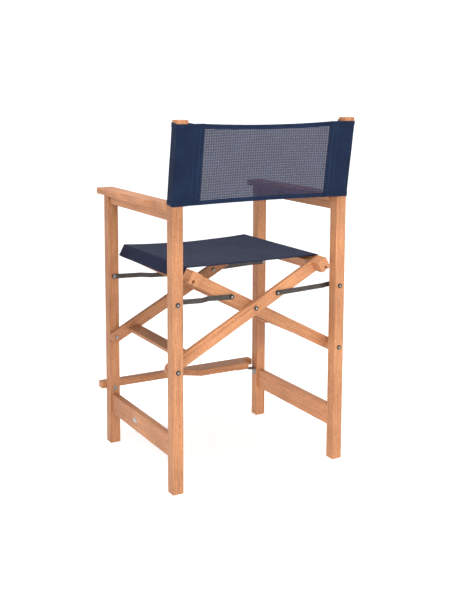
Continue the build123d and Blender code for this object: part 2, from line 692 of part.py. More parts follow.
lean_plane = Plane(
    origin=(0, -HALF_DEPTH, BEND_Z),
    x_dir=(1, 0, 0),
    z_dir=(0, -math.sin(LEAN), math.cos(LEAN)),
)
sleeve_start = (BACK_BOTTOM - BEND_Z) / math.cos(LEAN)
sleeve_length = (BACK_TOP - BACK_BOTTOM) / math.cos(LEAN)
sleeve_x = POST_HALF + FABRIC_GAP
sleeve_y = POST_HALF * math.cos(LEAN) + FABRIC_GAP
panel_y = -(sleeve_y - FABRIC)
lap_outer = HALF_SPACING - sleeve_x - FABRIC / 2
for side_name, side in SIDES.items():
    with BuildPart() as sleeve:
        with BuildSketch(lean_plane.offset(sleeve_start)):
            with Locations((side * HALF_SPACING, 0)):
                RectangleRounded(2 * (sleeve_x + FABRIC), 2 * (sleeve_y + FABRIC), SLEEVE_CORNER)
                RectangleRounded(2 * sleeve_x, 2 * sleeve_y, SLEEVE_INNER_CORNER, mode=Mode.SUBTRACT)
            with Locations((side * (lap_outer + PANEL_HALF) / 2, panel_y)):
                Rectangle(lap_outer - PANEL_HALF, 2 * FABRIC)
        extrude(amount=sleeve_length)
    write(sleeve, f"back_sling_{side_name}_sleeve")

with BuildPart() as panel:
    with BuildSketch(lean_plane.offset(sleeve_start)):
        with Locations((0, panel_y)):
            Rectangle(2 * PANEL_HALF, FABRIC)
    extrude(amount=sleeve_length)
write(panel, "back_sling_panel")
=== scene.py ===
import math

import bpy
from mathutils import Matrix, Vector


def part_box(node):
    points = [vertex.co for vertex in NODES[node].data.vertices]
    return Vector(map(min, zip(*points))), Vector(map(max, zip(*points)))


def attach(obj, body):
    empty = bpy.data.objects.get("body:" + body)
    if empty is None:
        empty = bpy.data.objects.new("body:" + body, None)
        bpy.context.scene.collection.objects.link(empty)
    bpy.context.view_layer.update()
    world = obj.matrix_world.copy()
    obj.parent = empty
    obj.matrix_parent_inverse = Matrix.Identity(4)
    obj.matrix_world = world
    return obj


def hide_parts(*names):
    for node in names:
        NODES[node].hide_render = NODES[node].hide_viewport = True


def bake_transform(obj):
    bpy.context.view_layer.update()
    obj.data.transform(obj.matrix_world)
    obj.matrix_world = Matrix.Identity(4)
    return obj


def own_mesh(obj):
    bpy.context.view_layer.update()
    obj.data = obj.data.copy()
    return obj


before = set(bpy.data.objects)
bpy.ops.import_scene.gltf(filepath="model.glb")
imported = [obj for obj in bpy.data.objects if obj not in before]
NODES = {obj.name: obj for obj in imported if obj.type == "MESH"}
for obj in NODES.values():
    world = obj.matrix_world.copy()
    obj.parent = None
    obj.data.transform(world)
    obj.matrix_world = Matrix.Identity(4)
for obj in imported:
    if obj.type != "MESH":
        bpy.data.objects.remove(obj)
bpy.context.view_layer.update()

# ---- camera and stage ---------------------------------------------------------
CAMERA_AT = (-1.3472, -2.4365, 1.0989)
CAMERA_AZIMUTH = 29.42      # degrees
CAMERA_ELEVATION = 7.37
CAMERA_ROLL = 0.23
CAMERA_LENS = 56.25         # mm
CAMERA_SENSOR = 36.0        # mm along the picture's long side
SHIFT_Y = -0.163


def make_camera():
    data = bpy.data.cameras.new("camera")
    data.lens = CAMERA_LENS
    data.sensor_width = CAMERA_SENSOR
    data.shift_y = SHIFT_Y
    data.dof.use_dof = False
    camera = bpy.data.objects.new("camera", data)
    bpy.context.scene.collection.objects.link(camera)
    az, el = math.radians(CAMERA_AZIMUTH), math.radians(CAMERA_ELEVATION)
    back = Vector((-math.sin(az) * math.cos(el), -math.cos(az) * math.cos(el), math.sin(el)))
    camera.location = CAMERA_AT
    camera.rotation_euler = (-back).to_track_quat("-Z", "Y").to_euler()
    camera.rotation_euler.rotate_axis("Z", math.radians(CAMERA_ROLL))
    bpy.context.scene.camera = camera


make_camera()


def link_mesh(name, vertices, faces, smooth=True):
    mesh = bpy.data.meshes.new(name)
    mesh.from_pydata([tuple(v) for v in vertices], [], faces)
    mesh.update()
    for polygon in mesh.polygons:
        polygon.use_smooth = smooth
    obj = bpy.data.objects.new(name, mesh)
    bpy.context.scene.collection.objects.link(obj)
    return obj


# ---- materials ----------------------------------------------------------------
class Nodes:
    """Short spellings for building one node material."""

    def __init__(self, name):
        self.material = bpy.data.materials.new(name)
        self.material.use_nodes = True
        self.tree = self.material.node_tree
        self.tree.nodes.clear()
        self.out = self.add("ShaderNodeOutputMaterial")
        self.shader = self.add("ShaderNodeBsdfPrincipled")
        self.join(self.shader, "BSDF", self.out, "Surface")

    def add(self, kind, **values):
        node = self.tree.nodes.new(kind)
        for key, value in values.items():
            setattr(node, key, value)
        return node

    def join(self, a, out, b, into):
        self.tree.links.new(a.outputs[out], b.inputs[into])

    def place(self, scale, turn=(0, 0, 0), shift=(0, 0, 0), kind="Object"):
        where = self.add("ShaderNodeTexCoord")
        move = self.add("ShaderNodeMapping")
        move.inputs["Location"].default_value = shift
        move.inputs["Rotation"].default_value = turn
        move.inputs["Scale"].default_value = scale
        self.join(where, kind, move, "Vector")
        return move

    def stretched(self, vector, scale):
        node = self.add("ShaderNodeVectorMath", operation="MULTIPLY")
        node.inputs[1].default_value = scale
        self.join(vector, 0, node, 0)
        return node

    def noise(self, vector, scale, detail=3.0, rough=0.5, distortion=0.0):
        node = self.add("ShaderNodeTexNoise")
        node.inputs["Scale"].default_value = scale
        node.inputs["Detail"].default_value = detail
        node.inputs["Roughness"].default_value = rough
        node.inputs["Distortion"].default_value = distortion
        self.join(vector, 0, node, "Vector")
        return node

    def ramp(self, socket, stops):
        node = self.add("ShaderNodeValToRGB")
        elements = node.color_ramp.elements
        while len(elements) < len(stops):
            elements.new(0.5)
        for element, (at, colour) in zip(elements, stops):
            element.position = at
            element.color = (*colour, 1.0)
        self.tree.links.new(socket, node.inputs["Fac"])
        return node.outputs["Color"]

    def math(self, operation, a, b, clamp=False):
        node = self.add("ShaderNodeMath", operation=operation, use_clamp=clamp)
        for index, value in enumerate((a, b)):
            if isinstance(value, (int, float)):
                node.inputs[index].default_value = value
            else:
                self.tree.links.new(value, node.inputs[index])
        return node.outputs[0]

    def mix(self, factor, a, b, blend="MIX"):
        node = self.add("ShaderNodeMix", data_type="RGBA", blend_type=blend)
        for index, value in ((0, factor), (6, a), (7, b)):
            if isinstance(value, (int, float)):
                node.inputs[index].default_value = value
            elif isinstance(value, tuple):
                node.inputs[index].default_value = (*value, 1.0)
            else:
                self.tree.links.new(value, node.inputs[index])
        return node.outputs[2]

    def bump(self, height, strength, distance):
        node = self.add("ShaderNodeBump")
        node.inputs["Strength"].default_value = strength
        node.inputs["Distance"].default_value = distance
        self.tree.links.new(height, node.inputs["Height"])
        self.join(node, "Normal", self.shader, "Normal")

    def colour(self, socket):
        self.tree.links.new(socket, self.shader.inputs["Base Color"])

    def roughness(self, source, low, high):
        node = self.add("ShaderNodeMapRange")
        node.inputs["To Min"].default_value = low
        node.inputs["To Max"].default_value = high
        self.tree.links.new(source, node.inputs["Value"])
        self.join(node, "Result", self.shader, "Roughness")


WOOD_DARK = (0.185, 0.060, 0.022)
WOOD_MID = (0.405, 0.160, 0.067)
WOOD_LIGHT = (0.600, 0.284, 0.132)
PATCH_TINTS = [(0.30, (0.80, 0.76, 0.74)), (0.50, (1.0, 1.0, 1.0)), (0.70, (1.14, 1.13, 1.12))]
GRAIN_STRETCH = 0.022       # a streak is about 45 times as long as it is wide
PORE_STRETCH = 0.20
BROAD_GRAIN, FINE_GRAIN, PORES, PATCHES = 120.0, 560.0, 900.0, 6.0      # features per metre
PORE_SHADE = 0.60
PORE_DEPTH = 0.9            # in heights of the fine grain
GRAIN_RELIEF = 0.0005       # m


def wood(name, turn, shift, tone_and_shade=1.0):
    """Straight-grained oiled hardwood. turn brings the grain onto the texture's Z."""
    n = Nodes(name)
    place = n.place((1, 1, 1), turn, shift)
    grain_space = n.stretched(place, (1.0, 1.0, GRAIN_STRETCH))
    pore_space = n.stretched(place, (1.0, 1.0, PORE_STRETCH))
    broad = n.noise(grain_space, BROAD_GRAIN, 3.0, 0.55, 0.5)
    fine = n.noise(grain_space, FINE_GRAIN, 5.0, 0.75, 0.2)
    pores = n.noise(pore_space, PORES, 2.0, 0.6)
    patch = n.noise(place, PATCHES, 3.0, 0.55)
    # the piece's factor scales all three grain colours: partly the board's own tone, partly painted shade
    # (below 1.0) and painted light (above 1.0)
    dark, mid, light = (
        tuple(c * tone_and_shade for c in colour) for colour in (WOOD_DARK, WOOD_MID, WOOD_LIGHT)
    )
    grain = n.ramp(broad.outputs["Fac"], [(0.32, mid), (0.52, light), (0.66, mid), (0.80, dark)])
    streak = n.ramp(fine.outputs["Fac"], [(0.34, dark), (0.45, mid), (0.58, light)])
    base = n.mix(0.50, grain, streak)
    pore = n.ramp(pores.outputs["Fac"], [(0.37, (1, 1, 1)), (0.43, (0, 0, 0))])
    base = n.mix(n.math("MULTIPLY", pore, PORE_SHADE), base, dark)
    n.colour(n.mix(1.0, base, n.ramp(patch.outputs["Fac"], PATCH_TINTS), "MULTIPLY"))
    n.roughness(fine.outputs["Fac"], 0.46, 0.66)
    height = n.math("ADD", fine.outputs["Fac"], n.math("MULTIPLY", pore, -PORE_DEPTH))
    n.bump(height, 0.25, GRAIN_RELIEF)
    n.shader.inputs["Specular IOR Level"].default_value = 0.30
    n.shader.inputs["Coat Weight"].default_value = 0.04
    n.shader.inputs["Coat Roughness"].default_value = 0.35
    return n.material


METAL_RELIEF = 0.0002       # m
BRUSH_STRETCH = 0.12


def metal(name, colour, rough, metallic=1.0, grain=900.0, turn=(0, 0, 0)):
    """Lightly brushed and worn metal. turn brings the brushing onto the texture's Z."""
    n = Nodes(name)
    place = n.place((1, 1, 1), turn)
    lines = n.noise(n.stretched(place, (1.0, 1.0, BRUSH_STRETCH)), grain, 3.0, 0.6)
    spots = n.noise(place, 160.0, 4.0, 0.6)
    dull, bright = (tuple(min(1.0, c * share) for c in colour) for share in (0.72, 1.15))
    n.colour(n.ramp(spots.outputs["Fac"], [(0.35, dull), (0.65, bright)]))
    n.roughness(lines.outputs["Fac"], rough - 0.08, rough + 0.12)
    n.shader.inputs["Metallic"].default_value = metallic
    n.bump(lines.outputs["Fac"], 0.08, METAL_RELIEF)
    return n.material


HEAD_RADIUS = 0.0064
# painted highlight and painted shade colours for the socket heads
HEAD_HIGHLIGHT = (0.52, 0.51, 0.50)
RIM_HIGHLIGHT = (0.20, 0.195, 0.19)
RECESS_SHADE = (0.022, 0.021, 0.020)
# colours from a head's centre out, by share of its radius: painted highlights at the centre and on the rim,
# painted shade in the recess ring and round the edge
HEAD_RINGS = [
    (0.0, HEAD_HIGHLIGHT),
    (0.38, HEAD_HIGHLIGHT),
    (0.46, RECESS_SHADE),
    (0.72, RECESS_SHADE),
    (0.82, RIM_HIGHLIGHT),
    (0.92, RECESS_SHADE),
]


def fastener(name, x, z):
    """Socket head seen along Y, in painted light and shade: a painted highlight at the centre, a ring of
    painted recess shade, a dimmer painted highlight on the rim and painted shade round the edge.
    """
    n = Nodes(name)
    place = n.place((1, 1, 1), shift=(-x, 0, -z))
    flat = n.stretched(place, (1.0, 0.0, 1.0))
    radius = n.add("ShaderNodeVectorMath", operation="LENGTH")
    n.join(flat, 0, radius, 0)
    # painted highlights and painted shade in rings round the bolt's axis
    rings = n.ramp(n.math("DIVIDE", radius.outputs["Value"], HEAD_RADIUS), HEAD_RINGS)
    spots = n.noise(place, 700.0, 3.0, 0.6)
    worn = n.ramp(spots.outputs["Fac"], [(0.35, (0.75, 0.75, 0.75)), (0.65, (1.1, 1.1, 1.1))])
    n.colour(n.mix(1.0, rings, worn, "MULTIPLY"))
    n.roughness(spots.outputs["Fac"], 0.22, 0.42)
    n.bump(spots.outputs["Fac"], 0.10, METAL_RELIEF)
    n.shader.inputs["Metallic"].default_value = 1.0
    return n.material


YARN_PITCH = 0.00105
CLOTH_RELIEF = 0.0003        # m
CREASE_HEIGHT = 5.0          # soft creases, in heights of a yarn
FADING = [(0.32, (0.74, 0.76, 0.80)), (0.68, (1.22, 1.20, 1.18))]
HEAVY_EVERY = 3              # every third yarn of the mesh is heavier
HEAVY_MEAN = 0.405           # mean of the heavy yarns' pattern
HEAVY_DEPTH = 1.25
HOLE_EDGE = 0.50             # height of the yarn pattern where a hole begins
HOLE_SCALE = 0.218           # the open share asked is divided by this; about nine tenths of it is left open


def weave(n, axis, pitch):
    """Height of the yarns that cross this axis of the UV map, 0 to 1."""
    return n.math("ABSOLUTE", n.math("SINE", n.math("MULTIPLY", axis, math.pi / pitch), 0), 0)


def cloth(name, dark, light, pitch=YARN_PITCH, open_share=0.0):
    """Plain weave in the piece's own UV map, which is in metres. open_share leaves holes."""
    n = Nodes(name)
    where = n.add("ShaderNodeTexCoord")
    uv = n.add("ShaderNodeMapping")
    n.join(where, "UV", uv, "Vector")
    split = n.add("ShaderNodeSeparateXYZ")
    n.join(uv, 0, split, "Vector")
    across, along = (weave(n, split.outputs[axis], pitch) for axis in ("X", "Y"))
    yarns = n.math("MULTIPLY", across, along)
    slub = n.noise(n.stretched(uv, (900.0, 22.0, 1.0)), 1.0, 3.0, 0.6)
    weft = n.noise(n.stretched(uv, (18.0, 700.0, 1.0)), 1.0, 3.0, 0.6)
    wander = n.noise(uv, 14.0, 3.0, 0.55)
    slub_half, weft_half = (n.math("MULTIPLY", yarn.outputs["Fac"], 0.5) for yarn in (slub, weft))
    threads = n.math("ADD", slub_half, weft_half)
    shade = n.math("ADD", n.math("MULTIPLY", yarns, 0.35), n.math("MULTIPLY", threads, 0.65))
    n.colour(n.mix(1.0, n.mix(shade, dark, light), n.ramp(wander.outputs["Fac"], FADING), "MULTIPLY"))
    n.shader.inputs["Roughness"].default_value = 0.85
    n.shader.inputs["Specular IOR Level"].default_value = 0.12
    n.shader.inputs["Sheen Weight"].default_value = 0.03
    n.shader.inputs["Sheen Roughness"].default_value = 0.5
    crease = n.noise(n.stretched(uv, (70.0, 16.0, 1.0)), 1.0, 3.0, 0.5)
    creases = n.math("MULTIPLY", crease.outputs["Fac"], CREASE_HEIGHT)
    n.bump(n.math("ADD", yarns, creases), 0.40, CLOTH_RELIEF)
    if open_share:
        steep = 1 / (1 - HOLE_EDGE)
        ramps = [
            n.math("MULTIPLY", n.math("SUBTRACT", axis, HOLE_EDGE), steep, True)
            for axis in (across, along)
        ]
        heavy = [weave(n, split.outputs[axis], pitch * HEAVY_EVERY) for axis in ("X", "Y")]
        rib = n.math("MULTIPLY", n.math("SUBTRACT", n.math("MULTIPLY", *heavy), HEAVY_MEAN), HEAVY_DEPTH)
        opened = n.math("MULTIPLY", n.math("MULTIPLY", *ramps), n.math("ADD", rib, 1.0))
        clear = n.math("MULTIPLY", opened, open_share / HOLE_SCALE)
        n.tree.links.new(n.math("SUBTRACT", 1.0, clear, True), n.shader.inputs["Alpha"])
    return n.material


NAVY_DARK = (0.0040, 0.0095, 0.0260)
NAVY_LIGHT = (0.0120, 0.0250, 0.0640)
SEAT_DARK = (0.0045, 0.0075, 0.0220)
SEAT_LIGHT = (0.0130, 0.0200, 0.0580)
MESH_DARK = (0.0100, 0.0120, 0.0300)
MESH_LIGHT = (0.0340, 0.0400, 0.0900)
MESH_PITCH = 0.0024
MESH_OPEN = 0.100
THREAD_DARK = (0.030, 0.045, 0.110)
THREAD_LIGHT = (0.060, 0.085, 0.170)
THREAD_PITCH = 0.0004

LEG_TILT = math.radians(28.0)
QUARTER = math.radians(90)
GRAINS = {
    "upright": (0, 0, 0),
    "fore_aft": (QUARTER, 0, 0),
    "across": (0, QUARTER, 0),
    "rising_right": (0, QUARTER + LEG_TILT, 0),
    "rising_left": (0, QUARTER - LEG_TILT, 0),
}

# grain direction and tone; the tones differ from board to board, and most of them also carry painted light
# and shade: those below 1.0 are darkened for shade, those above 1.0 lightened for the light on the piece
WOOD_PIECES = {
    "left_rear_post": ("upright", 0.92),
    "left_front_post": ("upright", 0.86),
    "right_rear_post": ("upright", 1.02),
    "right_front_post": ("upright", 0.94),
    "left_lower_stretcher": ("fore_aft", 1.0),
    "right_lower_stretcher": ("fore_aft", 1.08),
    "left_arm_rail": ("fore_aft", 0.94),
    "right_arm_rail": ("fore_aft", 0.86),
    "left_armrest": ("fore_aft", 1.04),
    "right_armrest": ("fore_aft", 0.92),
    "outer_rear_leg": ("rising_right", 1.04),
    "outer_front_leg": ("rising_right", 0.80),
    "inner_rear_leg": ("rising_left", 0.88),
    "inner_front_leg": ("rising_left", 0.84),
    "outer_leg_stretcher": ("fore_aft", 0.86),
    "inner_leg_stretcher": ("fore_aft", 0.86),
    "left_seat_rail": ("fore_aft", 0.95),
    "right_seat_rail": ("fore_aft", 1.0),
    "footrest_board": ("across", 0.88),
    "right_leg_spacers": ("upright", 0.9),
}


def paint(node, material):
    obj = NODES[node]
    obj.data.materials.clear()
    obj.data.materials.append(material)
    for polygon in obj.data.polygons:
        polygon.material_index = 0


GRAIN_SHIFT = (0.37, 0.73, 0.19)        # texture's step from one piece to the next
for index, (node, (grain, tone_and_shade)) in enumerate(WOOD_PIECES.items()):
    shift = tuple(step * index for step in GRAIN_SHIFT)
    paint(node, wood(f"teak_{node}", GRAINS[grain], shift, tone_and_shade))

zinc = metal("zinc_steel", (0.26, 0.25, 0.24), 0.30)
dark_steel = metal("dark_steel", (0.062, 0.054, 0.049), 0.34, 0.60, 500.0, (0, QUARTER, 0))
rod_plastic = metal("rod_plastic", (0.05, 0.05, 0.055), 0.5, 0.0)
plate = metal("plate", (0.42, 0.41, 0.40), 0.38, 1.0, 700.0, (QUARTER, 0, 0))

SOFT = ("seat_sling", "back_sling_panel", "back_sling_left_sleeve", "back_sling_right_sleeve")
for node in NODES:
    if node in WOOD_PIECES or node in SOFT:
        continue
    if node.endswith("_link"):
        paint(node, dark_steel)
    elif "rod" in node:
        paint(node, rod_plastic)
    elif "plate" in node:
        paint(node, plate)
    elif "bolt" in node and node != "footrest_peg_bolt":
        low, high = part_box(node)
        centre = (low + high) / 2
        paint(node, fastener(f"steel_{node}", centre.x, centre.z))
    else:
        paint(node, zinc)

navy = cloth("navy_cloth", NAVY_DARK, NAVY_LIGHT)
seat_navy = cloth("seat_cloth", SEAT_DARK, SEAT_LIGHT)
mesh_cloth = cloth("navy_mesh", MESH_DARK, MESH_LIGHT, MESH_PITCH, MESH_OPEN)
thread = cloth("thread", THREAD_DARK, THREAD_LIGHT, THREAD_PITCH)


# ---- sewn cloth ---------------------------------------------------------------
def hem_path(low, high, hem, gap, steps):
    """(place, offset) pairs: a turned hem, the cloth from low to high, a turned hem."""
    path = [(low + hem * (1 - k / 3), -gap) for k in range(3)]
    path += [(low, -gap * 0.85), (low - gap * 0.35, -gap * 0.5), (low, -gap * 0.15)]
    path += [(low + (high - low) * k / steps, 0.0) for k in range(1, steps)]
    path += [(high, -gap * 0.15), (high + gap * 0.35, -gap * 0.5), (high, -gap * 0.85)]
    path += [(high - hem * (k + 1) / 3, -gap) for k in range(3)]
    return path


def row_with_uv(points, run):
    """The row's (u, v) pairs: run across, and the length along the points."""
    length, pairs = 0.0, [(run, 0.0)]
    for last, point in zip(points, points[1:]):
        length += (point - last).length
        pairs.append((run, length))
    return pairs


def grid_sheet(name, rows, uv_rows, material, thickness=0.0):
    """A cloth grid from rows of points, with UVs in metres."""
    wide = len(rows[0])
    vertices = [point for row in rows for point in row]
    faces = [
        (i * wide + j, i * wide + j + 1, (i + 1) * wide + j + 1, (i + 1) * wide + j)
        for i in range(len(rows) - 1)
        for j in range(wide - 1)
    ]
    obj = link_mesh(name, vertices, faces)
    layer = obj.data.uv_layers.new(name="cloth")
    flat = [uv for row in uv_rows for uv in row]
    for loop in obj.data.loops:
        layer.data[loop.index].uv = flat[loop.vertex_index]
    obj.data.materials.append(material)
    if thickness:
        solid = obj.modifiers.new("thickness", "SOLIDIFY")
        solid.thickness = thickness
        solid.offset = 0.0
    return obj


THREAD_SIDES = 6
THREAD_UV_STEP = 0.0003
# rings of one dash: place along it, size and lift off the cloth, in lengths and radii
DASH = ((-0.5, 0.25, -0.7), (-0.3, 1.0, 0.3), (0.3, 1.0, 0.3), (0.5, 0.25, -0.7))


def stitches(name, lines, pitch=0.0036, length=0.0025, radius=0.00032):
    """Sewing thread: short dashes along each line of (point, normal) pairs."""
    vertices, faces, uvs = [], [], []
    sides = THREAD_SIDES
    for line in lines:
        travelled, wanted = 0.0, pitch
        for (a, normal), (b, _) in zip(line, line[1:]):
            run = (b - a).length
            if run < 1e-7:
                continue
            along = (b - a) / run
            side = along.cross(normal).normalized()
            while travelled + run > wanted:
                centre = a + along * (wanted - travelled)
                first = len(vertices)
                for at, size, lift in DASH:
                    for k in range(sides):
                        turn = math.tau * k / sides
                        ring = side * math.cos(turn) + normal * math.sin(turn)
                        spot = centre + along * (length * at) + normal * (radius * lift)
                        vertices.append(spot + ring * (radius * size))
                        uvs.append((wanted + at * length, k * THREAD_UV_STEP))
                for r in range(len(DASH) - 1):
                    for k in range(sides):
                        a0, a1 = first + r * sides + k, first + r * sides + (k + 1) % sides
                        faces.append((a0, a1, a1 + sides, a0 + sides))
                faces.append(tuple(first + k for k in reversed(range(sides))))
                faces.append(tuple(first + (len(DASH) - 1) * sides + k for k in range(sides)))
                wanted += pitch
            travelled += run
    obj = link_mesh(name, vertices, faces)
    layer = obj.data.uv_layers.new(name="cloth")
    for loop in obj.data.loops:
        layer.data[loop.index].uv = uvs[loop.vertex_index]
    obj.data.materials.append(thread)
    return obj


def path_with_normals(points):
    """Adds to each (a, b) of a flat path its left normal and the length so far."""
    result, travelled = [], 0.0
    for i, (a, b) in enumerate(points):
        before, after = points[max(i - 1, 0)], points[min(i + 1, len(points) - 1)]
        da, db = after[0] - before[0], after[1] - before[1]
        size = math.hypot(da, db) or 1.0
        if i:
            travelled += math.hypot(a - points[i - 1][0], b - points[i - 1][1])
        result.append(((a, b), (-db / size, da / size), travelled))
    return result


def rounded(corners, radius, steps=4, spacing=0.006):
    """The polyline through corners with its bends rounded and its runs divided."""
    points = [corners[0]]
    for before, here, after in zip(corners, corners[1:], corners[2:]):
        a, b, c = Vector(before), Vector(here), Vector(after)
        cut = min(radius, 0.45 * (a - b).length, 0.45 * (c - b).length)
        start, end = b + (a - b).normalized() * cut, b + (c - b).normalized() * cut
        for k in range(steps + 1):
            t = k / steps
            points.append(tuple(start * (1 - t) ** 2 + b * 2 * t * (1 - t) + end * t * t))
    points.append(corners[-1])
    filled = [points[0]]
    for p in points[1:]:
        a, b = Vector(filled[-1]), Vector(p)
        parts = max(1, round((b - a).length / spacing))
        filled += [tuple(a.lerp(b, (k + 1) / parts)) for k in range(parts)]
    return filled


# ---- seat ---------------------------------------------------------------------
HALF_SPACING = 0.260        # from the chair's centre to a post's centre line
LEG_PIVOT_Z = 0.337
RAIL_REACH = 0.206          # seat rail's centre line from the chair's centre, across
RAIL_UP_LEG = (HALF_SPACING + RAIL_REACH) / math.cos(LEG_TILT)
RAIL_HALF_U, RAIL_HALF_V = 0.016, 0.017
GROOVE_U, GROOVE_V = 0.0026, -0.0128      # where the cloth ends in a rail's groove
CLOTH_MID = 0.0012          # cloth's middle surface above the wood
SEAT_REAR, SEAT_FRONT = -0.188, 0.232
SAG_REAR, SAG_FRONT = 0.0015, 0.0080      # sag of the seat's two hemmed edges
SAG_CENTRE = 0.0038                       # what the middle sags beyond its edges
SPAN_PARTS = 12             # straight runs of the cloth between the rails
HEM = 0.012
HEM_GAP = 0.0011            # from a turned hem to the cloth beside it
SEAT_STEPS = 42
SEAT_THICKNESS = 0.0009
SEAT_BEND = 0.0028          # radius round the rails' edges
RIPPLE_HALF = 0.19          # ripples end here, across
RIPPLE_HEIGHT = 0.0005
SEAM_INSET = 0.002          # from a hem's turned edge to its seam
SEAT_SEAM_LIFT = 0.0006


def rail_point(side, u, v):
    """(x, z) in a seat rail's section; side -1 is the left rail."""
    u += RAIL_UP_LEG
    x = -side * (HALF_SPACING - u * math.cos(LEG_TILT) + v * math.sin(LEG_TILT))
    return x, LEG_PIVOT_Z + u * math.sin(LEG_TILT) + v * math.cos(LEG_TILT)


def seat_profile():
    """(x, z) along the cloth from one rail's groove to the other's, without sag."""
    half_u, half_v = RAIL_HALF_U + CLOTH_MID, RAIL_HALF_V + CLOTH_MID
    left = [(GROOVE_U, GROOVE_V), (GROOVE_U, -half_v), (half_u, -half_v), (half_u, half_v)]
    corners = [rail_point(-1, *uv) for uv in left]
    right = [rail_point(1, *uv) for uv in reversed(left)]
    (x0, z0), (x1, z1) = corners[-1], right[0]
    middle = []
    for k in range(1, SPAN_PARTS):
        t = k / SPAN_PARTS
        middle.append((x0 + (x1 - x0) * t, z0 + (z1 - z0) * t))
    return rounded(corners + middle + right, SEAT_BEND)


def seat_sag(x, y):
    """How far the cloth hangs below the line between the rails' inner edges."""
    free_half = abs(rail_point(-1, RAIL_HALF_U + CLOTH_MID, RAIL_HALF_V + CLOTH_MID)[0])
    span = max(0.0, 1 - (x / free_half) ** 2)
    t = min(max((y - SEAT_REAR) / (SEAT_FRONT - SEAT_REAR), 0.0), 1.0)
    return span * (SAG_REAR + (SAG_FRONT - SAG_REAR) * t + SAG_CENTRE * math.sin(math.pi * t))


def make_seat():
    profile = path_with_normals(seat_profile())
    across = hem_path(SEAT_REAR, SEAT_FRONT, HEM, HEM_GAP, SEAT_STEPS)
    rows, uv_rows = [], []
    for (x, z), (nx, nz), run in profile:
        span = max(0.0, 1 - (x / RIPPLE_HALF) ** 2)
        row = []
        for y, off in across:
            ripple = RIPPLE_HEIGHT * span * math.sin(34 * x + 1.3) * math.sin(21 * y + 0.4)
            row.append(Vector((x + nx * off, y, z + nz * off - seat_sag(x, y) + ripple)))
        rows.append(row)
        uv_rows.append(row_with_uv(row, run))
    cloth_piece = grid_sheet("seat_cloth", rows, uv_rows, seat_navy, SEAT_THICKNESS)
    lines = []
    for y_line in (SEAT_REAR + HEM - SEAM_INSET, SEAT_FRONT - HEM + SEAM_INSET):
        line = []
        for (x, z), (nx, nz), _ in profile:
            normal = Vector((nx, 0, nz))
            line.append((Vector((x, y_line, z - seat_sag(x, y_line))) + normal * SEAT_SEAM_LIFT, normal))
        lines.append(line)
    seams = stitches("seat_stitches", lines)
    for piece in (cloth_piece, seams):
        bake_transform(piece)
    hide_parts("seat_sling")


make_seat()


# ---- back sling ---------------------------------------------------------------
LEAN = math.radians(8.2)    # of the rear posts above the bend
BEND_AT = Vector((0, -0.217, 0.772))
FORE = Vector((0, math.cos(LEAN), math.sin(LEAN)))
RISE = Vector((0, -math.sin(LEAN), math.cos(LEAN)))
BACK_LOW = 0.011 / math.cos(LEAN)
BACK_HIGH = 0.224 / math.cos(LEAN)
BACK_HEM = 0.011
PANEL_HALF = 0.198          # half of the panel between the sleeves' laps
PANEL_AT = -0.0142          # the panel lies this far aft of the posts' centre line
PANEL_EDGE = 0.225          # the panel's sides, sewn between the two layers of a sleeve's lap
PANEL_COLUMNS, PANEL_STEPS = 72, 34
PANEL_HEM_GAP = 0.0012
EDGE_DIP, EDGE_LIFT = 0.0060, 0.0015      # slack of the panel's top and bottom edges
BOW = 0.004                 # how far the panel's middle bows forward
PANEL_RIPPLE = 0.0004
PRESS_START, PRESS_RUN = 0.008, 0.006     # hems start to flatten this far before a lap, over this run
PRESS_SHARE = 0.75
HEM_MARGIN = 0.003          # the top hem's material begins this far below its turned edge
EDGE_SEAM = 0.0025          # from the panel's edge to the seam along it
PANEL_SEAM_OFFS = (0.0004, -0.0016)       # a seam's place behind and in front of the panel
LAP_OFF = 0.0009            # a lap's layers lie this far from the panel
SLEEVE_X, SLEEVE_Y = 0.01695, 0.01684     # half sizes of a sleeve round its post
SLEEVE_SEAM = 0.226         # from the chair's centre to the seam that closes a sleeve
LAP_OVER = 0.002            # how far a lap's edge passes PANEL_HALF
LAP_BLEND = 0.02            # the post's folds die out over this distance onto the lap
SLEEVE_BEND, SLEEVE_SPACING = 0.0030, 0.004
SLEEVE_HEM_GAP, SLEEVE_STEPS = 0.0010, 30
SLEEVE_THICKNESS = 0.0008
CLOSING_SEAM = 0.003        # onto the lap from where it leaves the tube
TWIN_SEAMS = (0.0125, 0.0105)             # from the lap's edge
SEAM_STEPS = 40
TUBE_FOLD = 0.00035         # height of the soft folds round a post
LAP_PUCKER = 0.0004
SEAM_LIFT = 0.0016          # side seams from the panel's middle surface
HEM_SEAM_LIFT = 0.0012
LAP_SHRINK = 0.0008         # a lap's bottom edge stands this much higher than the sleeve's


def back_point(x, fore, rise):
    return BEND_AT + Vector((x, 0, 0)) + FORE * fore + RISE * rise


def window_edges(x):
    """Slack of the panel's top and bottom edges at this X."""
    slack = max(0.0, 1 - (x / PANEL_HALF) ** 2)
    return EDGE_DIP * slack, EDGE_LIFT * slack


def panel_point(x, rise, off):
    """Point of the bowed panel at x and rise; off is behind its middle surface."""
    dip, lift = window_edges(x)
    t = (rise - BACK_LOW) / (BACK_HIGH - BACK_LOW)
    moved = rise - dip * t + lift * (1 - t)
    slack = max(0.0, 1 - (x / PANEL_HALF) ** 2)
    ripple = PANEL_RIPPLE * slack * math.sin(40 * x) * math.sin(30 * rise)
    bow = BOW * slack * (0.35 + 0.65 * t) + ripple
    pressed = max(0.0, min(1.0, (abs(x) - PANEL_HALF + PRESS_START) / PRESS_RUN))
    return back_point(x, PANEL_AT + bow - off * (1 - PRESS_SHARE * pressed), moved)


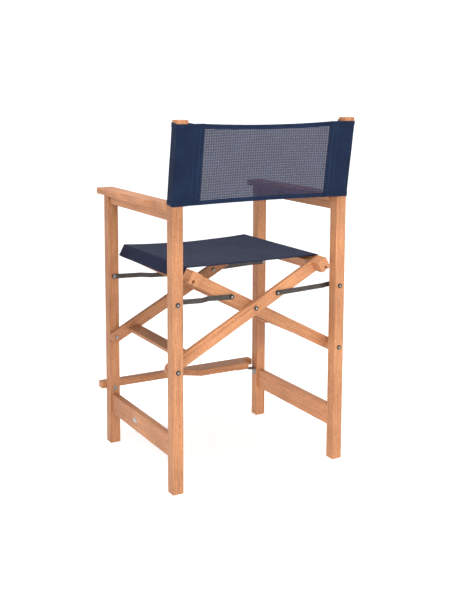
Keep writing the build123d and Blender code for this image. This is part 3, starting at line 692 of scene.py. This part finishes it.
def make_panel():
    columns = PANEL_COLUMNS
    across = hem_path(BACK_LOW, BACK_HIGH, BACK_HEM, PANEL_HEM_GAP, PANEL_STEPS)
    rows, uv_rows = [], []
    for i in range(columns + 1):
        x = -PANEL_EDGE + 2 * PANEL_EDGE * i / columns
        rows.append([panel_point(x, rise, off) for rise, off in across])
        uv_rows.append(row_with_uv(rows[-1], x))
    panel = grid_sheet("back_mesh_panel", rows, uv_rows, mesh_cloth)
    panel.data.materials.append(navy)
    wide = len(across)
    for polygon in panel.data.polygons:
        j = min(v % wide for v in polygon.vertices)
        rise = across[j][0]
        hem = rise < BACK_LOW + BACK_HEM or rise > BACK_HIGH - BACK_HEM - HEM_MARGIN
        polygon.material_index = 1 if hem else 0
    lines = []
    seam_rises = (
        BACK_LOW + EDGE_SEAM,
        BACK_LOW + BACK_HEM - SEAM_INSET,
        BACK_HIGH - BACK_HEM + SEAM_INSET,
        BACK_HIGH - EDGE_SEAM,
    )
    for rise in seam_rises:
        for off in PANEL_SEAM_OFFS:
            normal = -FORE if off > 0 else FORE
            xs = [-PANEL_HALF + 2 * PANEL_HALF * i / columns for i in range(columns + 1)]
            lines.append([(panel_point(x, rise, off), normal) for x in xs])
    seams = stitches("back_panel_stitches", lines)
    for piece in (panel, seams):
        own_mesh(piece)
        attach(piece, "left_frame")
    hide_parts("back_sling_panel")


def make_sleeve(name, side):
    """Sewn tube round a rear post, closed by a flat lap on the mesh."""
    body = f"{name}_frame"
    rx, ry = SLEEVE_X, SLEEVE_Y
    seam, end = HALF_SPACING - SLEEVE_SEAM, HALF_SPACING - PANEL_HALF + LAP_OVER
    corners = [
        (end, PANEL_AT - LAP_OFF),
        (seam, PANEL_AT - LAP_OFF),
        (rx, -ry),
        (-rx, -ry),
        (-rx, ry),
        (rx, ry),
        (seam, PANEL_AT + LAP_OFF),
        (end, PANEL_AT + LAP_OFF),
    ]
    flat_path = path_with_normals(rounded(corners, SLEEVE_BEND, 4, SLEEVE_SPACING))
    across = hem_path(BACK_LOW, BACK_HIGH, BACK_HEM, SLEEVE_HEM_GAP, SLEEVE_STEPS)
    rows, uv_rows = [], []
    for (inward, fore), (ni, nf), run in flat_path:
        row = []
        lap = max(0.0, min(1.0, (inward - rx) / LAP_BLEND))
        for rise, off in across:
            t = (rise - BACK_LOW) / (BACK_HIGH - BACK_LOW)
            fold = TUBE_FOLD * (1 + math.sin(run * 700 + 1.5 * math.sin(rise * 25))) * (1 - lap)
            pucker = LAP_PUCKER * lap * math.sin(rise * 520 + run * 90)
            out = off + fold + pucker
            shrink = lap * (LAP_SHRINK * (1 - t))
            a, b = inward - ni * out, fore - nf * out
            row.append(back_point(side * (HALF_SPACING - a), b, rise + shrink))
        rows.append(row)
        uv_rows.append(row_with_uv(row, run))
    sleeve = grid_sheet(f"back_{name}_sleeve", rows, uv_rows, navy, SLEEVE_THICKNESS)
    lines = []
    side_seams = (seam + CLOSING_SEAM, end - TWIN_SEAMS[0], end - TWIN_SEAMS[1], end - SEAM_INSET)
    for inward in side_seams:
        for fore, normal in ((PANEL_AT - SEAM_LIFT, -FORE), (PANEL_AT + SEAM_LIFT, FORE)):
            line = []
            for k in range(SEAM_STEPS + 1):
                rise = BACK_LOW + SEAM_INSET + (BACK_HIGH - BACK_LOW - 2 * SEAM_INSET) * k / SEAM_STEPS
                line.append((back_point(side * (HALF_SPACING - inward), fore, rise), normal))
            lines.append(line)
    for rise in (BACK_LOW + BACK_HEM - SEAM_INSET, BACK_HIGH - BACK_HEM + SEAM_INSET):
        line = []
        for (inward, fore), (ni, nf), _ in flat_path:
            a, b = inward - ni * HEM_SEAM_LIFT, fore - nf * HEM_SEAM_LIFT
            normal = (Vector((side, 0, 0)) * ni - FORE * nf).normalized()
            line.append((back_point(side * (HALF_SPACING - a), b, rise), normal))
        lines.append(line)
    seams = stitches(f"back_{name}_sleeve_stitches", lines)
    for piece in (sleeve, seams):
        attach(piece, body)
    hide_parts(f"back_sling_{name}_sleeve")


make_panel()
make_sleeve("left", -1)
make_sleeve("right", 1)


# ---- stage --------------------------------------------------------------------
# the bowl's section outside its centre: radius, height
BOWL = [(3.5, 0.0), (4.6, 0.10), (5.6, 0.45), (6.3, 1.10), (6.7, 2.0), (6.9, 3.2), (7.0, 5.0)]
BOWL_SIDES = 96
FLOOR_DROP = 0.0005         # the floor lies this far below the feet
FLOOR_GLOW = 0.48
WORLD_GLOW = 0.14


def make_stage():
    """Pale floor that turns up smoothly into a round backdrop."""
    vertices = [(0.0, 0.0, -FLOOR_DROP)]
    faces = []
    for radius, height in BOWL:
        for k in range(BOWL_SIDES):
            turn = math.tau * k / BOWL_SIDES
            vertices.append((radius * math.cos(turn), radius * math.sin(turn), height - FLOOR_DROP))
    for k in range(BOWL_SIDES):
        faces.append((0, 1 + k, 1 + (k + 1) % BOWL_SIDES))
    for ring in range(len(BOWL) - 1):
        low = 1 + ring * BOWL_SIDES
        for k in range(BOWL_SIDES):
            after = (k + 1) % BOWL_SIDES
            faces.append((low + k, low + BOWL_SIDES + k, low + BOWL_SIDES + after, low + after))
    floor = link_mesh("floor", vertices, faces)
    n = Nodes("floor_paint")
    soft = n.noise(n.place((1, 1, 1)), 1.5, 2.0)
    n.colour(n.ramp(soft.outputs["Fac"], [(0.3, (0.90, 0.90, 0.90)), (0.7, (0.93, 0.93, 0.93))]))
    n.shader.inputs["Roughness"].default_value = 0.95
    n.shader.inputs["Specular IOR Level"].default_value = 0.1
    n.shader.inputs["Emission Color"].default_value = (1, 1, 1, 1)
    n.shader.inputs["Emission Strength"].default_value = FLOOR_GLOW
    floor.data.materials.append(n.material)


def area_light(name, at, target, size, power):
    data = bpy.data.lights.new(name, "AREA")
    data.shape = "DISK"
    data.size = size
    data.energy = power
    light = bpy.data.objects.new(name, data)
    bpy.context.scene.collection.objects.link(light)
    light.location = at
    light.rotation_euler = (Vector(target) - Vector(at)).to_track_quat("-Z", "Y").to_euler()


make_stage()
world = bpy.data.worlds.new("studio")
world.use_nodes = True
world.node_tree.nodes["Background"].inputs["Color"].default_value = (1, 1, 1, 1)
world.node_tree.nodes["Background"].inputs["Strength"].default_value = WORLD_GLOW
bpy.context.scene.world = world
bpy.context.scene.view_settings.view_transform = "Standard"
area_light("key", (-1.4, -3.6, 2.2), (0, 0, 0.5), 1.4, 62)
area_light("fill", (2.4, -3.0, 2.0), (0, 0, 0.5), 2.5, 14)
area_light("top", (0.0, -0.4, 3.4), (0, 0, 0.4), 1.8, 80)
